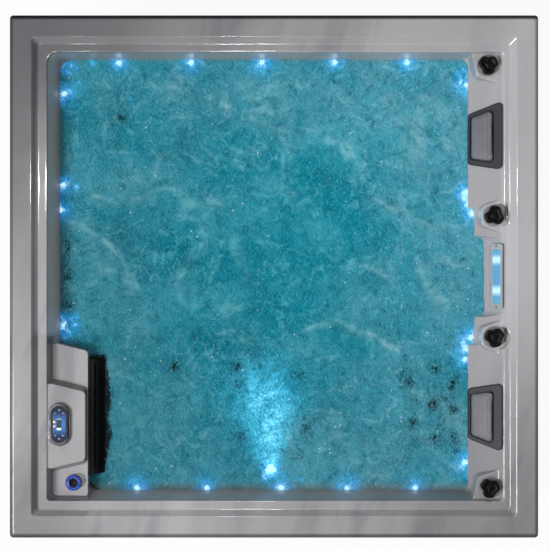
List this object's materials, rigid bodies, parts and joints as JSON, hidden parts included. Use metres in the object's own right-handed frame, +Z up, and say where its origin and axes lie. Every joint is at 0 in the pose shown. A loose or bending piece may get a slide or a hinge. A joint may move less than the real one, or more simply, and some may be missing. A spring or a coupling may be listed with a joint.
{
  "type": "hot tub",
  "caption": "Square acrylic hot tub with a stepped rim, sloped shoulder with headrests, turning valves, skimmer shelf, topside control, seats, footwell and slatted cabinet.",
  "frame": {"origin": "on the floor under the middle of the tub", "axes": "+X towards the side with the headrests and waterfall, +Y to the rear, +Z up"},
  "size_m": [2.2, 2.175, 0.9],
  "materials": {
    "acrylic": "polished grey marble acrylic",
    "black": "satin black moulding",
    "charcoal": "satin charcoal moulding",
    "pad": "soft grey foam skin",
    "clear": "clear lit plastic",
    "chromed": "polished chrome plate",
    "face": "gloss dark blue film",
    "cabinet": "fine grained board",
    "steel": "galvanised",
    "pipe": "white pipe plastic",
    "gear": "grey moulded plastic"
  },
  "bodies": {
    "tub": {"acrylic_shell": "acrylic", "base_pan": "charcoal", "floor_support": "charcoal", "front_left_corner_trim": "charcoal", "front_right_corner_trim": "charcoal", "rear_right_corner_trim": "charcoal", "rear_left_corner_trim": "charcoal", "front_headrest_frame": "charcoal", "rear_headrest_frame": "charcoal", "front_panel": "cabinet", "rear_panel": "cabinet", "left_panel": "cabinet", "right_panel": "cabinet", "front_headrest_pad": "pad", "rear_headrest_pad": "pad", "support_frame": "steel", "heater": "steel", "skimmer_housing": "pipe", "filter_cartridge": "pipe", "jet_manifold": "pipe", "suction_pipe": "pipe", "skimmer_grille": "black", "pump_wet_end": "black", "air_blower": "black", "rear_valve_body": "gear", "upper_side_valve_body": "gear", "lower_side_valve_body": "gear", "front_valve_body": "gear", "ring_valve_body": "gear", "underwater_light_housing": "gear", "suction_fitting_1": "gear", "suction_fitting_2": "gear", "floor_drain": "gear", "pump_motor": "gear", "control_pack": "gear", "control_bezel": "chromed", "control_face": "face", "waterfall_frame": "clear", "waterfall_light_bar": "clear", "underwater_light_lens": "clear", "upper_led_string": "clear", "lower_led_string": "clear"},
    "rear_handle": {"rear_valve_handle": "black"},
    "upper_side_handle": {"upper_side_valve_handle": "black"},
    "lower_side_handle": {"lower_side_valve_handle": "black"},
    "front_handle": {"front_valve_handle": "black"},
    "ring_cap": {"ring_valve_cap": "black"},
    "pump_one_button": {"pump_one_button": "chromed"},
    "pump_two_button": {"pump_two_button": "chromed"},
    "blower_button": {"blower_button": "chromed"},
    "cooler_button": {"cooler_button": "chromed"},
    "warmer_button": {"warmer_button": "chromed"},
    "lamp_button": {"lamp_button": "chromed"},
    "weir": {"weir_flap": "pipe"},
    "jet_1": {"jet_face_1": "gear"},
    "jet_2": {"jet_face_2": "gear"},
    "jet_3": {"jet_face_3": "gear"},
    "jet_4": {"jet_face_4": "gear"},
    "jet_5": {"jet_face_5": "gear"},
    "jet_6": {"jet_face_6": "gear"}
  },
  "joints": [
    {"name": "rear_valve_turn", "type": "hinge", "parent": "tub", "child": "rear_handle", "pos_m": [0.893, 0.882, 0.86], "axis": [0, 0, 1], "range_deg": [0, 120]},
    {"name": "upper_side_valve_turn", "type": "hinge", "parent": "tub", "child": "upper_side_handle", "pos_m": [0.918, 0.254, 0.86], "axis": [0, 0, 1], "range_deg": [0, 180]},
    {"name": "lower_side_valve_turn", "type": "hinge", "parent": "tub", "child": "lower_side_handle", "pos_m": [0.918, -0.254, 0.86], "axis": [0, 0, 1], "range_deg": [0, 180]},
    {"name": "front_valve_turn", "type": "hinge", "parent": "tub", "child": "front_handle", "pos_m": [0.8995, -0.882, 0.86], "axis": [0, 0, 1], "range_deg": [0, 120]},
    {"name": "ring_valve_turn", "type": "hinge", "parent": "tub", "child": "ring_cap", "pos_m": [-0.843, -0.866, 0.828], "axis": [0, 0, 1], "range_deg": [0, 180]},
    {"name": "pump_one_button_press", "type": "slide", "parent": "tub", "child": "pump_one_button", "axis": [0, 0, -1], "range_m": [0, 0.001], "stiffness_N_per_m": 300, "springref_m": -0.002},
    {"name": "pump_two_button_press", "type": "slide", "parent": "tub", "child": "pump_two_button", "axis": [0, 0, -1], "range_m": [0, 0.001], "stiffness_N_per_m": 300, "springref_m": -0.002},
    {"name": "blower_button_press", "type": "slide", "parent": "tub", "child": "blower_button", "axis": [0, 0, -1], "range_m": [0, 0.001], "stiffness_N_per_m": 300, "springref_m": -0.002},
    {"name": "cooler_button_press", "type": "slide", "parent": "tub", "child": "cooler_button", "axis": [0, 0, -1], "range_m": [0, 0.001], "stiffness_N_per_m": 300, "springref_m": -0.002},
    {"name": "warmer_button_press", "type": "slide", "parent": "tub", "child": "warmer_button", "axis": [0, 0, -1], "range_m": [0, 0.001], "stiffness_N_per_m": 300, "springref_m": -0.002},
    {"name": "lamp_button_press", "type": "slide", "parent": "tub", "child": "lamp_button", "axis": [0, 0, -1], "range_m": [0, 0.001], "stiffness_N_per_m": 300, "springref_m": -0.002},
    {"name": "weir_swing", "type": "hinge", "parent": "tub", "child": "weir", "pos_m": [-0.8165, -0.59, 0.695], "axis": [0, 1, 0], "range_deg": [-40, 0]},
    {"name": "jet_1_turn", "type": "hinge", "parent": "tub", "child": "jet_1", "pos_m": [0.77948, -0.40017, 0.65512], "axis": [-0.9324, 0, 0.3613], "range_deg": [0, 90]},
    {"name": "jet_2_turn", "type": "hinge", "parent": "tub", "child": "jet_2", "pos_m": [0.77948, -0.54492, 0.65512], "axis": [-0.9324, 0, 0.3613], "range_deg": [0, 90]},
    {"name": "jet_3_turn", "type": "hinge", "parent": "tub", "child": "jet_3", "pos_m": [0.77948, -0.6901, 0.65512], "axis": [-0.9324, 0, 0.3613], "range_deg": [0, 90]},
    {"name": "jet_4_turn", "type": "hinge", "parent": "tub", "child": "jet_4", "pos_m": [0.72244, -0.40017, 0.50792], "axis": [-0.9324, 0, 0.3613], "range_deg": [0, 90]},
    {"name": "jet_5_turn", "type": "hinge", "parent": "tub", "child": "jet_5", "pos_m": [0.72244, -0.54492, 0.50792], "axis": [-0.9324, 0, 0.3613], "range_deg": [0, 90]},
    {"name": "jet_6_turn", "type": "hinge", "parent": "tub", "child": "jet_6", "pos_m": [0.72244, -0.6901, 0.50792], "axis": [-0.9324, 0, 0.3613], "range_deg": [0, 90]}
  ]
}
